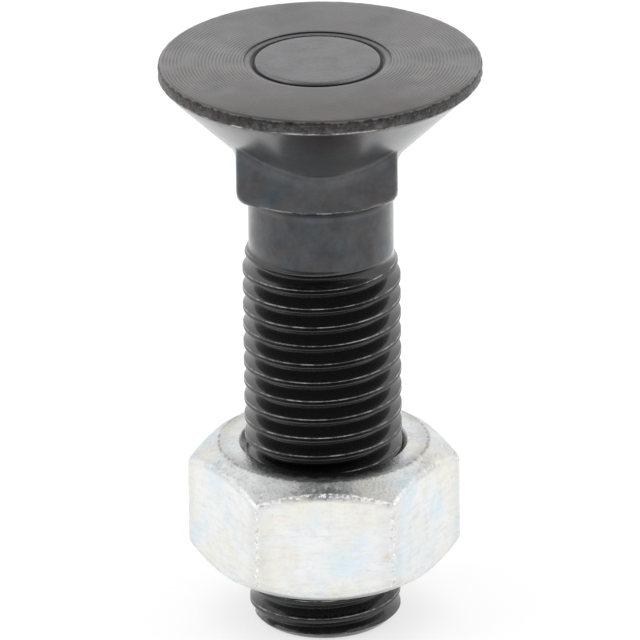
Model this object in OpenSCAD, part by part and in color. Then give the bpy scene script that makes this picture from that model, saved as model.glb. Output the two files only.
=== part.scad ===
// Plow bolt M16 x 60: flat countersunk head, square neck, rolled right-hand thread, and a hex nut.
// It stands on its threaded end: z = 0 is the end face and +Z runs along the axis to the head.

/* [Head] */
// Length of the bolt, from the end face to the top of the head
bolt_len = 60; // [50:1:120]
// Diameter of the flat head
head_d = 32; // [29:0.5:40]
// Height of the straight rim of the head
rim_h = 1.3; // [0.8:0.1:2]
// Break on the two edges of the rim
rim_break = 0.2; // [0.05:0.05:0.35]
// Included angle of the countersink under the rim
cone_angle = 90; // [84:1:100]
// Diameter of the disc that a pressed groove sets off in the top of the head
disc_d = 12.2; // [8:0.1:18]
// Depth of the groove around the disc
groove_depth = 0.4; // [0.2:0.05:0.8]
// Width of the steep wall between the disc and the bottom of the groove
groove_wall_w = 0.3; // [0.1:0.05:0.5]
// Width of the gentle slope from the bottom of the groove up to the face
groove_slope_w = 0.95; // [0.3:0.05:1.5]

/* [Square neck] */
// Width of the square neck across its flats
neck_w = 16; // [15:0.1:17]
// Radius of the four upright corners of the neck
neck_corner_r = 1; // [0.4:0.1:2]
// Distance from the top of the head to the lower edge of each flat
neck_depth = 13; // [11:0.5:16]
// Slope of the shoulder under the neck, from square to the axis
shoulder_angle = 23; // [10:1:40]
// Radius that rounds the outer edge of the shoulder
shoulder_r = 1.8; // [0.3:0.1:2.5]

/* [Shank and thread] */
// Diameter of the plain shank between the neck and the thread
shank_d = 14.5; // [14.3:0.1:15.2]
// Outside diameter of the rolled thread
thread_d = 15.8; // [15.6:0.05:16]
// Pitch of the thread
pitch = 2; // [1.5:0.25:2.5]
// Width of the flat along the crest of the thread
crest_w = 0.4; // [0.2:0.05:0.5]
// Depth of the thread from crest to root
thread_depth = 1.15; // [0.7:0.05:1.2]
// Length of the thread from the end face to the end of its run-out
thread_len = 41; // [30:0.5:45]
// Length over which the thread runs out into the shank
runout_len = 3.5; // [1:0.5:5]
// Height of the step between the run-out and the shank
runout_step = 0.1; // [0.05:0.05:0.3]
// Diameter of the flat end face
tip_d = 12.8; // [11:0.1:13.2]
// Angle round the bolt at which the thread leaves the end face
start_angle = 240; // [0:1:359]

/* [Nut] */
// Width of the nut across its flats
nut_w = 24; // [22:0.5:27]
// Height of the nut
nut_h = 13; // [8:0.5:16]
// Height of the lower face of the nut above the end face of the bolt
nut_z = 6; // [0:2:20]
// Diameter of the round faces left by the corner chamfers
nut_face_d = 22.2; // [20:0.1:24]
// Slope of the corner chamfers, from square to the axis
nut_chamfer_angle = 30; // [15:1:35]
// Gap between the crest of the thread and the bore of the nut
nut_clearance = 0.25; // [0.15:0.05:0.4]
// Widening of the bore at each mouth, on the radius
mouth_widening = 0.35; // [0.1:0.05:0.6]

/* [Hidden] */

// Facets of the round solids
$fn = 96;
// Overlap that makes two joined solids one
weld = 0.1;
// Steps of the thread in one turn
turn_steps = 36;
// Points on the outline of one rounded corner
corner_steps = 8;
// Rise of the thread rows where they bunch up at the two ends
row_rise = 0.05;

head_r = head_d / 2;
cone_slope = 1 / tan(cone_angle / 2);
rim_z = bolt_len - rim_h;
disc_r = disc_d / 2;
groove_r = disc_r + groove_wall_w;
neck_half = neck_w / 2;
neck_corner_reach = (neck_half - neck_corner_r) * sqrt(2) + neck_corner_r;
neck_z = bolt_len - neck_depth;
shank_r = shank_d / 2;
thread_r = thread_d / 2;
root_r = thread_r - thread_depth;
tip_r = tip_d / 2;
runout_r = shank_r + runout_step;
nut_bore_r = thread_r + nut_clearance;
nut_corner_r = nut_w / 2 / cos(30);

// Flanks of the thread stand at 30 degrees to a plane across the axis
flank_w = thread_depth * tan(30);
// Heights of the four edges of one thread ridge, from the middle of its crest
ridge_z = [-crest_w / 2 - flank_w, -crest_w / 2, crest_w / 2, crest_w / 2 + flank_w];
ridge_r = [root_r, thread_r, thread_r, root_r];
rows = len(ridge_z);
// Height of the crest where the thread starts
start_z = 4 * row_rise;
// Steps from the start of the thread to the end of its run-out
last_step = ceil(turn_steps * (thread_len - ridge_z[0] - start_z) / pitch);

// Points of a circle's arc about a centre, from one angle to another
function arc(centre, r, from, to, steps) =
    [for (i = [0 : steps]) let (a = from + (to - from) * i / steps) centre + r * [cos(a), sin(a)]];

// Outline of a square with rounded corners
function rounded_square(half, r) =
    [for (q = [0 : 3])
        let (c = (half - r) * sqrt(2) * [cos(45 + 90 * q), sin(45 + 90 * q)])
        each arc(c, r, 90 * q, 90 * q + 90, corner_steps)];

// Height of the cone under the rim at a radius
function cone_z(r) = rim_z - (head_r - r) * cone_slope;

// Height of the shoulder under the neck at a radius
function shoulder_z(r) = neck_z + (r - neck_half) * tan(shoulder_angle);

// Radius of the thread at a height: the end chamfer cuts it off and the run-out fades it into the shank
function faded_r(r, z) =
    let (fade = min(1, max(0, (z - thread_len + runout_len) / (runout_len - rows * row_rise))))
    min(r * (1 - fade) + runout_r * fade, tip_r + z);

// Height of one edge of the ridge, kept in order between the two ends of the thread
function row_z(step, row) =
    let (z = start_z + pitch * step / turn_steps + ridge_z[row])
    let (upper = step > last_step ? thread_len - row_rise : thread_len - (rows + 1 - row) * row_rise)
    max(row_rise * (row + 1), min(z, upper));

// Point on one edge of the ridge
function thread_point(step, row) =
    let (z = row_z(step, row), r = faded_r(ridge_r[row], z), a = start_angle + 360 * step / turn_steps)
    [r * cos(a), r * sin(a), z];

// Ring of points that closes an end of the thread
function end_ring(first, r, z) =
    [for (i = [0 : turn_steps - 1])
        let (a = start_angle + 360 * (first + i) / turn_steps)
        [r * cos(a), r * sin(a), z]];

// The threaded length as one helical strip between two flat ends
module threaded_length() {
    points = concat(
        [for (s = [0 : last_step]) for (k = [0 : rows - 1]) thread_point(s, k)],
        [for (s = [last_step + 1 : last_step + turn_steps]) thread_point(s, 0)],
        end_ring(0, tip_r, 0),
        end_ring(last_step, runout_r, thread_len));
    upper_start = (last_step + 1) * rows;
    foot_start = upper_start + turn_steps;
    cap_start = foot_start + turn_steps;
    // Number of a point: past the last row of a turn comes the first row of the next turn
    function at(s, k) = k == rows ? at(s + turn_steps, 0)
        : s <= last_step ? s * rows + k : upper_start + s - last_step - 1;
    function foot(i) = foot_start + i % turn_steps;
    function cap(i) = cap_start + i % turn_steps;
    near_foot = turn_steps - 1;
    past_top = last_step + 1;
    faces = concat(
        [for (s = [0 : last_step - 1]) for (k = [0 : rows - 1])
            each [[at(s, k), at(s + 1, k + 1), at(s + 1, k)], [at(s, k), at(s, k + 1), at(s + 1, k + 1)]]],
        [for (i = [0 : turn_steps - 2])
            each [[foot(i), at(i + 1, 0), foot(i + 1)], [foot(i), at(i, 0), at(i + 1, 0)]]],
        [[at(near_foot, 0), foot(0), foot(near_foot)], [at(near_foot, 0), at(0, 0), foot(0)]],
        [for (k = [0 : rows - 1]) [at(near_foot, 0), at(0, k + 1), at(0, k)]],
        [for (i = [1 : turn_steps - 1])
            each [[at(last_step + i, 0), cap(i + 1), at(last_step + i + 1, 0)],
                  [at(last_step + i, 0), cap(i), cap(i + 1)]]],
        [[at(past_top, 0), cap(0), cap(1)], [at(past_top, 0), at(last_step, rows), cap(0)]],
        [for (k = [0 : rows - 1]) [at(past_top, 0), at(last_step, k), at(last_step, k + 1)]],
        [[for (i = [0 : turn_steps - 1]) foot_start + i]],
        [[for (i = [turn_steps - 1 : -1 : 0]) cap_start + i]]);
    polyhedron(points, faces, convexity = 10);
}

// Flat head with its rim, its countersink cone and the groove around its disc
module head() {
    inner_r = shank_r - weld;
    rotate_extrude()
        polygon([
            [0, cone_z(inner_r)],
            [inner_r, cone_z(inner_r)],
            [head_r - rim_break, cone_z(head_r - rim_break)],
            [head_r, rim_z + rim_break],
            [head_r, bolt_len - rim_break],
            [head_r - rim_break, bolt_len],
            [groove_r + groove_slope_w, bolt_len],
            [groove_r, bolt_len - groove_depth],
            [disc_r, bolt_len],
            [0, bolt_len]]);
}

// Square neck, cut to a sloping shoulder at its lower end
module neck() {
    // The rounding touches the shoulder and an upright line just outside the corners
    side_r = neck_corner_reach + weld;
    round_x = side_r - shoulder_r;
    round_z = shoulder_z(round_x) + shoulder_r / cos(shoulder_angle);
    top_z = cone_z(neck_corner_reach) + weld;
    intersection() {
        translate([0, 0, shoulder_z(0)])
            linear_extrude(top_z - shoulder_z(0))
                polygon(rounded_square(neck_half, neck_corner_r));
        rotate_extrude()
            polygon(concat(
                [[0, shoulder_z(0)]],
                arc([round_x, round_z], shoulder_r, shoulder_angle - 90, 0, corner_steps),
                [[side_r, top_z + weld], [0, top_z + weld]]));
    }
}

module bolt() {
    color([0.16, 0.16, 0.17]) {
        head();
        neck();
        translate([0, 0, thread_len - weld])
            cylinder(r = shank_r, h = cone_z(shank_r) - thread_len + weld);
        threaded_length();
    }
}

module hex_nut() {
    face_r = nut_face_d / 2;
    chamfer_h = (nut_corner_r - face_r) * tan(nut_chamfer_angle);
    mouth_r = nut_bore_r + mouth_widening;
    color([0.86, 0.87, 0.88])
        translate([0, 0, nut_z])
            difference() {
                intersection() {
                    cylinder(r = nut_corner_r, h = nut_h, $fn = 6);
                    rotate_extrude()
                        polygon([
                            [0, 0],
                            [face_r, 0],
                            [nut_corner_r, chamfer_h],
                            [nut_corner_r, nut_h - chamfer_h],
                            [face_r, nut_h],
                            [0, nut_h]]);
                }
                translate([0, 0, -weld])
                    cylinder(r = nut_bore_r, h = nut_h + 2 * weld);
                for (end = [0, 1])
                    translate([0, 0, end * nut_h])
                        mirror([0, 0, end])
                            translate([0, 0, -weld])
                                cylinder(r1 = mouth_r + weld, r2 = nut_bore_r - weld,
                                    h = mouth_widening + 2 * weld);
            }
}

bolt();
hex_nut();
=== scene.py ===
"""Looks of a plow bolt and its hex nut: forged head and neck, rolled thread, black oxide and zinc."""
import logging
import math
from collections.abc import Callable, Iterator
from contextlib import contextmanager
from dataclasses import dataclass, replace
from enum import Enum
from functools import partial

import bmesh
import bpy
from mathutils import Matrix, Vector, noise


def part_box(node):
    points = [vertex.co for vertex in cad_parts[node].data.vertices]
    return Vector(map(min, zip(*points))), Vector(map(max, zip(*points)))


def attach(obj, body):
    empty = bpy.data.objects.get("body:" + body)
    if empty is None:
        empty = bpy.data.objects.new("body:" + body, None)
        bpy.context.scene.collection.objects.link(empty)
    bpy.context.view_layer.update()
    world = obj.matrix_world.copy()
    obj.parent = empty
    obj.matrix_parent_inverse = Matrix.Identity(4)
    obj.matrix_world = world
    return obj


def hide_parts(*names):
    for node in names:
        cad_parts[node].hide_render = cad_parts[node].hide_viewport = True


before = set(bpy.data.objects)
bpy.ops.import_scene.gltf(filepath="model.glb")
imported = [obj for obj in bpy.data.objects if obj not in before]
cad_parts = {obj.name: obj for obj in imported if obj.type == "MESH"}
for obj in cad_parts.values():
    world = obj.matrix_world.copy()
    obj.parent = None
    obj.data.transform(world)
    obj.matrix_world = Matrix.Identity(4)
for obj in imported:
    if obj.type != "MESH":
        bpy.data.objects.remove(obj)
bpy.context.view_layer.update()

# Pieces are modelled in millimetres and brought to metres when they are done
MM = 0.001
FULL_TURN = 2.0 * math.pi
WHITE = (1.0, 1.0, 1.0)
# Point in metres that the camera and the lamps look at
AIM = Vector((0.0, 0.0, 0.03))
log = logging.getLogger("plow_bolt")

Piece = bpy.types.Object
Socket = bpy.types.NodeSocket
Colour = tuple[float, float, float]
# Place in metres, or direction
Spot = tuple[float, float, float]
# Radius and height in millimetres, or on the outline of a ridge its height and radius
Point = tuple[float, float]
# Point of a ring of edges at an angle round the axis
Outline = Callable[[float], Point]


class Region(Enum):
    """Places on the bolt that have a finish of their own."""

    BODY = 0
    FACE = 1
    DISC = 2
    RIM = 3
    THREAD = 4
    CONE = 5


def node_box_mm(name: str) -> tuple[Vector, Vector]:
    """Lowest and highest corner of a CAD node's box in millimetres."""
    low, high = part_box(name)
    return Vector(low) / MM, Vector(high) / MM


def deselect_all() -> None:
    """Leave edit mode and select nothing."""
    if bpy.context.object and bpy.context.object.mode != "OBJECT":
        bpy.ops.object.mode_set(mode="OBJECT")
    bpy.ops.object.select_all(action="DESELECT")


def activate(piece: Piece) -> None:
    """Make one piece the only selected and active one.

    Args:
        piece: Object to work on.
    """
    deselect_all()
    piece.select_set(True)
    bpy.context.view_layer.objects.active = piece


@contextmanager
def editing(piece: Piece) -> Iterator[None]:
    """Edit the mesh of one piece, with all of it selected at the start.

    Args:
        piece: Object to edit.

    Yields:
        Nothing, while the piece is in edit mode.
    """
    activate(piece)
    bpy.ops.object.mode_set(mode="EDIT")
    bpy.ops.mesh.select_all(action="SELECT")
    yield
    bpy.ops.object.mode_set(mode="OBJECT")


def apply_modifier(piece: Piece, kind: str, **settings: object) -> None:
    """Add a modifier with its settings and apply it.

    Args:
        piece: Object to change.
        kind: Blender's name of the modifier type.
        **settings: Values of the modifier's properties.
    """
    activate(piece)
    modifier = piece.modifiers.new(kind.title(), kind)
    for key, value in settings.items():
        setattr(modifier, key, value)
    bpy.ops.object.modifier_apply(modifier=modifier.name)


def smooth_step(value: float, low: float, high: float) -> float:
    """Blend from 0 at low to 1 at high.

    Args:
        value: Place to look at.
        low: Where the blend starts.
        high: Where the blend ends.

    Returns:
        Share between 0 and 1.
    """
    share = min(1.0, max(0.0, (value - low) / (high - low)))
    return share * share * (3.0 - 2.0 * share)


def ripple(angle: float, height: float, waves: float, seed: float) -> float:
    """Even noise round the axis, without a seam.

    Args:
        angle: Angle round the axis in radians.
        height: Height in millimetres.
        waves: About how many waves go round.
        seed: Moves to another stretch of noise.

    Returns:
        Value of about -1 to 1.
    """
    reach = waves / math.pi
    return noise.noise(Vector((reach * math.cos(angle), reach * math.sin(angle), height + seed)))


def level_ring(radius: float, height: float, x: float = 0.0, y: float = 0.0) -> Outline:
    """Outline of a level circle, whose centre may lie a little off the axis, at x and y."""
    return lambda angle: (radius + x * math.cos(angle) + y * math.sin(angle), height)


def rings(point: Callable[[float, float], Point], count: int) -> list[Outline]:
    """Rings at even steps over a surface, up to its end.

    Args:
        point: Point at a share of the way over the surface and an angle round the axis.
        count: Number of rings.

    Returns:
        Outline of each ring.
    """
    return [partial(point, step / count) for step in range(1, count + 1)]


def both_ways(half: list[Point]) -> list[Point]:
    """Whole outline of a ridge from its upper half, from below."""
    return [(-height, radius) for height, radius in reversed(half)] + half[1:]


class RingSkin:
    """Skin that is pulled from ring to ring, each an extrusion of the edges before it."""

    def __init__(self, name: str, sides: int, first: Outline) -> None:
        """Start with one open ring.

        Args:
            name: Name of the new object.
            sides: Points on each ring.
            first: Outline of the first ring.
        """
        deselect_all()
        bpy.ops.mesh.primitive_circle_add(vertices=sides, radius=1.0, fill_type="NOTHING")
        self.piece = bpy.context.object
        self.piece.name = name
        bpy.ops.object.mode_set(mode="EDIT")
        bpy.ops.mesh.select_mode(type="EDGE")
        bpy.ops.mesh.select_all(action="SELECT")
        self._lay(first)

    def _lay(self, outline: Outline) -> None:
        """Move the selected ring to an outline.

        Args:
            outline: Where the ring goes.
        """
        mesh = bmesh.from_edit_mesh(self.piece.data)
        for vert in mesh.verts:
            if vert.select:
                angle = math.atan2(vert.co.y, vert.co.x)
                radius, height = outline(angle)
                vert.co = (radius * math.cos(angle), radius * math.sin(angle), height)
        bmesh.update_edit_mesh(self.piece.data)

    def pull(self, *outlines: Outline) -> Piece:
        """Extrude the open ring through the outlines in turn and hand over the object.

        Args:
            *outlines: Rings to pull through, in order.

        Returns:
            The skin, out of edit mode.
        """
        for outline in outlines:
            bpy.ops.mesh.extrude_edges_move()
            self._lay(outline)
        bpy.ops.object.mode_set(mode="OBJECT")
        return self.piece


@dataclass(frozen=True)
class ThreadForm:
    """One right-hand thread, whose turns line up with those of every other that shares its start."""

    pitch: float = 2.0
    # Height of the crest of the bolt's thread over the +X axis, one of a row a pitch apart
    crest_z: float = 0.867
    steps: int = 112
    # Distance at which the points of neighbouring turns become one
    weld: float = 0.002

    def sweep(self, name: str, ridge: list[Point], low: float, high: float) -> Piece:
        """Sweep the outline of one ridge into a skin that reaches past two heights.

        Args:
            name: Name of the new object.
            ridge: Height from the crest and radius of each point over one pitch, from below.
            low: Height that the skin reaches down to.
            high: Height that the skin reaches up to.

        Returns:
            The open skin.
        """
        turns_below = math.ceil((self.crest_z - low) / self.pitch) + 1
        turns = math.ceil((high - low) / self.pitch) + 3
        base = self.crest_z - turns_below * self.pitch
        points = [Vector((radius, 0.0, base + height)) for height, radius in ridge]
        deselect_all()
        bpy.ops.mesh.primitive_plane_add(size=1.0)
        piece = bpy.context.object
        piece.name = name
        with editing(piece):
            bpy.ops.mesh.select_mode(type="VERT")
            bpy.ops.mesh.merge(type="CENTER")
            bpy.ops.transform.translate(value=points[0])
            for here, there in zip(points, points[1:]):
                bpy.ops.mesh.extrude_vertices_move(TRANSFORM_OT_translate={"value": there - here})
        apply_modifier(piece, "SCREW", axis="Z", angle=FULL_TURN, screw_offset=self.pitch, iterations=turns,
                       steps=self.steps, render_steps=self.steps)
        with editing(piece):
            bpy.ops.mesh.remove_doubles(threshold=self.weld)
        return piece


def reshape(piece: Piece, radius_at: Callable[[Vector], float]) -> None:
    """Give every point of a skin a new radius.

    Args:
        piece: Skin to change.
        radius_at: New radius from the old place.
    """
    for vert in piece.data.vertices:
        share = radius_at(vert.co) / vert.co.xy.length
        vert.co.x *= share
        vert.co.y *= share


def cut_level(piece: Piece, height: float, keep_above: bool, fill: bool = False) -> None:
    """Cut a piece off level.

    Args:
        piece: Object to cut.
        height: Height of the cut.
        keep_above: Keep what is above the cut, or else what is below it.
        fill: Close the cut with a face.
    """
    with editing(piece):
        bpy.ops.mesh.bisect(plane_co=(0.0, 0.0, height), plane_no=(0.0, 0.0, 1.0), use_fill=fill,
                            clear_inner=keep_above, clear_outer=not keep_above, threshold=1e-5)


def select_open_edges(piece: Piece, low: float, high: float) -> None:
    """Select, in edit mode, only the open edges of a piece between two heights.

    Args:
        piece: Object with open edges.
        low: Lowest height of the edges.
        high: Highest height of the edges.
    """
    bpy.ops.mesh.select_mode(type="EDGE")
    bpy.ops.mesh.select_all(action="DESELECT")
    mesh = bmesh.from_edit_mesh(piece.data)
    for edge in mesh.edges:
        edge.select = edge.is_boundary and all(low <= vert.co.z <= high for vert in edge.verts)
    bmesh.update_edit_mesh(piece.data)


def bridge_open_rims(piece: Piece, low: float, high: float) -> None:
    """Bridge the two open rims of a piece that lie between two heights.

    Args:
        piece: Object with open rims.
        low: Lowest height of the rims.
        high: Highest height of the rims.
    """
    with editing(piece):
        select_open_edges(piece, low, high)
        bpy.ops.mesh.bridge_edge_loops()


def join_pieces(main: Piece, other: Piece) -> None:
    """Join another piece into the main one.

    Args:
        main: Object that stays.
        other: Object that becomes a part of it.
    """
    activate(main)
    other.select_set(True)
    bpy.ops.object.join()


def face_outwards(piece: Piece) -> None:
    """Point all faces of a closed mesh outwards."""
    with editing(piece):
        bpy.ops.mesh.normals_make_consistent(inside=False)


def finish_mesh(piece: Piece, crease_deg: float) -> None:
    """Shade a piece smooth and bring it to metres.

    Args:
        piece: Finished closed mesh in millimetres.
        crease_deg: Edges that turn more than this stay sharp.
    """
    activate(piece)
    bpy.ops.object.shade_smooth_by_angle(angle=math.radians(crease_deg))
    piece.scale = (MM, MM, MM)
    bpy.ops.object.transform_apply(location=True, rotation=True, scale=True)


class Shader:
    """Short way to place and join the nodes of one tree."""

    def __init__(self, tree: bpy.types.NodeTree) -> None:
        """Work on one node tree."""
        self.tree = tree

    def feed(self, socket: Socket, value: object) -> None:
        """Link a socket to another one, or set its value. A colour gets full opacity.

        Args:
            socket: Socket to feed.
            value: Socket to link, or value to set.
        """
        if isinstance(value, Socket):
            self.tree.links.new(value, socket)
        elif socket.type == "RGBA":
            socket.default_value = (*value, 1.0)
        else:
            socket.default_value = value

    def fill(self, node: bpy.types.Node, **inputs: object) -> None:
        """Feed inputs of a node by name, with _ for each space in a name."""
        for key, value in inputs.items():
            self.feed(node.inputs[key.replace("_", " ")], value)

    def node(self, kind: str, props: dict[str, object] | None = None, **inputs: object) -> bpy.types.Node:
        """Place a node.

        Args:
            kind: Blender's type name of the node.
            props: Values of the node's own properties.
            **inputs: Values or sockets for its inputs, with _ for each space in a name.

        Returns:
            The new node.
        """
        made = self.tree.nodes.new(kind)
        for key, value in (props or {}).items():
            setattr(made, key, value)
        self.fill(made, **inputs)
        return made

    def math(self, operation: str, first: object, second: object = 0.0, clamp: bool = False) -> Socket:
        """Place a math node.

        Args:
            operation: Blender's name of the operation.
            first: First value or socket.
            second: Second value or socket.
            clamp: Keep the result between 0 and 1.

        Returns:
            The result's socket.
        """
        made = self.node("ShaderNodeMath", {"operation": operation, "use_clamp": clamp})
        self.feed(made.inputs[0], first)
        self.feed(made.inputs[1], second)
        return made.outputs[0]

    def add(self, first: object, second: object, clamp: bool = False) -> Socket:
        """Sum of two values."""
        return self.math("ADD", first, second, clamp)

    def sub(self, first: object, second: object) -> Socket:
        """First value less the second."""
        return self.math("SUBTRACT", first, second)

    def mul(self, first: object, second: object) -> Socket:
        """Product of two values."""
        return self.math("MULTIPLY", first, second)

    def most(self, first: object, second: object) -> Socket:
        """Larger one of two values."""
        return self.math("MAXIMUM", first, second)

    def least(self, first: object, second: object) -> Socket:
        """Smaller one of two values."""
        return self.math("MINIMUM", first, second)

    def gap(self, first: object, second: object) -> Socket:
        """Distance between two values."""
        return self.math("ABSOLUTE", self.sub(first, second))

    def rest(self, share: object) -> Socket:
        """What a share leaves of 1."""
        return self.sub(1.0, share)

    def scaled(self, value: object, factor: float, start: float) -> Socket:
        """Value times a factor, from a start."""
        return self.add(self.mul(value, factor), start)

    def band(self, value: object, low: float, high: float) -> Socket:
        """Blend smoothly from 0 at low to 1 at high.

        Args:
            value: Socket to look at.
            low: Where the blend starts.
            high: Where the blend ends.

        Returns:
            Socket with a share between 0 and 1.
        """
        smooth = {"interpolation_type": "SMOOTHSTEP"}
        made = self.node("ShaderNodeMapRange", smooth, Value=value, From_Min=low, From_Max=high)
        return made.outputs["Result"]

    def fall(self, value: object, low: float, high: float) -> Socket:
        """Blend smoothly from 1 at low to 0 at high."""
        return self.rest(self.band(value, low, high))

    def line(self, distance: object, half: float, core: float = 0.4) -> Socket:
        """Mask of a line from the distance to its middle, its half width and the share of its core."""
        return self.fall(distance, half * core, half)

    def mix(self, share: object, first: object, second: object, blend: str = "MIX") -> Socket:
        """Mix two colours.

        Args:
            share: Share of the second colour.
            first: First colour or socket.
            second: Second colour or socket.
            blend: Blender's name of the way to mix.

        Returns:
            Socket of the mixed colour.
        """
        made = self.node("ShaderNodeMix", {"data_type": "RGBA", "blend_type": blend})
        # The sockets for colours come after those for numbers and vectors
        for place, value in ((0, share), (6, first), (7, second)):
            self.feed(made.inputs[place], value)
        return made.outputs[2]

    def shaded(self, colour: object, shade: object) -> Socket:
        """Colour times a shade."""
        return self.mix(1.0, colour, shade, "MULTIPLY")

    def vector(self, operation: str, first: object, second: Spot = (0.0, 0.0, 0.0)) -> bpy.types.Node:
        """Place a vector math node.

        Args:
            operation: Blender's name of the operation.
            first: First vector or socket.
            second: Second vector.

        Returns:
            The new node.
        """
        made = self.node("ShaderNodeVectorMath", {"operation": operation})
        self.feed(made.inputs[0], first)
        self.feed(made.inputs[1], second)
        return made

    def noise(self, place: Socket, scale: object, detail: float = 3.0, rough: float = 0.55) -> Socket:
        """Place a noise texture.

        Args:
            place: Socket with coordinates.
            scale: Waves in a metre.
            detail: Number of finer layers.
            rough: Strength of the finer layers.

        Returns:
            Socket with the noise value.
        """
        made = self.node("ShaderNodeTexNoise", Vector=place, Scale=scale, Detail=detail, Roughness=rough)
        return made.outputs[0]

    def parts(self, place: Socket) -> list[Socket]:
        """X, Y and Z of a place."""
        return list(self.node("ShaderNodeSeparateXYZ", Vector=place).outputs)


def new_group(name: str, inputs: dict[str, str], outputs: dict[str, str]) -> tuple[
        Shader, bpy.types.Node, bpy.types.Node]:
    """Make an empty shader node group.

    Args:
        name: Name of the group.
        inputs: Kind of each input socket, by name.
        outputs: Kind of each output socket, by name.

    Returns:
        Node kit of the group, its input node and its output node.
    """
    tree = bpy.data.node_groups.new(name, "ShaderNodeTree")
    for way, sockets in (("INPUT", inputs), ("OUTPUT", outputs)):
        for label, kind in sockets.items():
            tree.interface.new_socket(name=label, in_out=way, socket_type="NodeSocket" + kind)
    return Shader(tree), tree.nodes.new("NodeGroupInput"), tree.nodes.new("NodeGroupOutput")


class Effects:
    """Node groups that several finishes share."""

    def __init__(self) -> None:
        """Build each group once."""
        self.cylinder = self._cylinder()
        self.speckle = self._speckle()
        self.drift = self._drift()

    @staticmethod
    def _cylinder() -> bpy.types.NodeTree:
        """Radius, angle and height of a point about the bolt's axis.

        Returns:
            The node group.
        """
        kit, start, end = new_group("cylinder_place", {"Place": "Vector"},
                                    {"Radius": "Float", "Angle": "Float", "Height": "Float"})
        x, y, z = kit.parts(start.outputs["Place"])
        kit.fill(end, Radius=kit.math("SQRT", kit.add(kit.mul(x, x), kit.mul(y, y))),
                 Angle=kit.math("ARCTAN2", y, x), Height=z)
        return kit.tree

    @staticmethod
    def _speckle() -> bpy.types.NodeTree:
        """Sharp specks of a given size and share of the surface.

        Returns:
            The node group.
        """
        kit, start, end = new_group("speckle", {"Place": "Vector", "Scale": "Float", "Level": "Float",
                                                "Softness": "Float"}, {"Mask": "Float"})
        cloud = kit.noise(start.outputs["Place"], start.outputs["Scale"], 4.0, 0.65)
        over = kit.sub(cloud, start.outputs["Level"])
        kit.fill(end, Mask=kit.math("DIVIDE", over, start.outputs["Softness"], clamp=True))
        return kit.tree

    @staticmethod
    def _drift() -> bpy.types.NodeTree:
        """Slow drift of a colour towards two tints.

        Returns:
            The node group.
        """
        kit, start, end = new_group("tint_drift", {"Place": "Vector", "Scale": "Float", "Colour": "Color",
                                                   "Tint A": "Color", "Tint B": "Color", "Strength": "Float"},
                                    {"Colour": "Color"})
        place = start.outputs["Place"]
        shifted = kit.vector("ADD", place, (0.37, 0.11, 0.73)).outputs[0]
        result = start.outputs["Colour"]
        for spot, tint in ((place, "Tint A"), (shifted, "Tint B")):
            cloud = kit.noise(spot, start.outputs["Scale"], 2.0, 0.5)
            share = kit.mul(kit.band(cloud, 0.42, 0.72), start.outputs["Strength"])
            result = kit.mix(share, result, start.outputs[tint])
        kit.fill(end, Colour=result)
        return kit.tree


class Metal(Shader):
    """Material of a metal, with its shader and its object coordinates."""

    def __init__(self, effects: Effects, name: str, roughness: float, coat: float = 0.0,
                 coat_roughness: float = 0.15) -> None:
        """Make the material.

        Args:
            effects: Node groups that the finishes share.
            name: Name of the material.
            roughness: Even roughness of the shader, where nothing is linked.
            coat: Weight of the oil film over the metal.
            coat_roughness: Roughness of that film.
        """
        self.effects = effects
        self.material = bpy.data.materials.new(name)
        self.material.use_nodes = True
        super().__init__(self.material.node_tree)
        self.shader = self.tree.nodes["Principled BSDF"]
        self.fill(self.shader, Metallic=1.0, Roughness=roughness, Coat_Weight=coat,
                  Coat_Roughness=coat_roughness)
        self.place = self.node("ShaderNodeTexCoord").outputs["Object"]

    def group(self, tree: bpy.types.NodeTree, **inputs: object) -> bpy.types.Node:
        """Place a node group on the object coordinates, or on others that are given as Place."""
        return self.node("ShaderNodeGroup", {"node_tree": tree}, **{"Place": self.place, **inputs})

    def around(self, **inputs: object) -> list[Socket]:
        """Radius, angle and height about the bolt's axis."""
        return list(self.group(self.effects.cylinder, **inputs).outputs)

    def cloud(self, scale: float, detail: float = 3.0, rough: float = 0.55) -> Socket:
        """Noise on the object coordinates."""
        return self.noise(self.place, scale, detail, rough)

    def tinted(self, scale: float, strength: float, colour: Colour, *tints: Colour) -> Socket:
        """Colour that drifts slowly towards two tints."""
        return self.group(self.effects.drift, Scale=scale, Strength=strength, Colour=colour, Tint_A=tints[0],
                          Tint_B=tints[1]).outputs["Colour"]

    def specks(self, scale: float, level: float, softness: float) -> Socket:
        """Mask of sharp specks."""
        return self.group(self.effects.speckle, Scale=scale, Level=level, Softness=softness).outputs["Mask"]

    def spot(self, centre: Spot, low: float, high: float) -> Socket:
        """Mask of a round spot that fades between two distances from its centre."""
        return self.fall(self.vector("DISTANCE", self.place, centre).outputs["Value"], low, high)

    def bump(self, height: Socket, depth: float, strength: float) -> None:
        """Feed the shader's normal from a height.

        Args:
            height: Socket with a height of about 0 to 1.
            depth: Real depth in metres of a height of 1.
            strength: Strength of the bump.
        """
        bump = self.node("ShaderNodeBump", Height=height, Distance=depth, Strength=strength)
        self.fill(self.shader, Normal=bump.outputs["Normal"])


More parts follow.
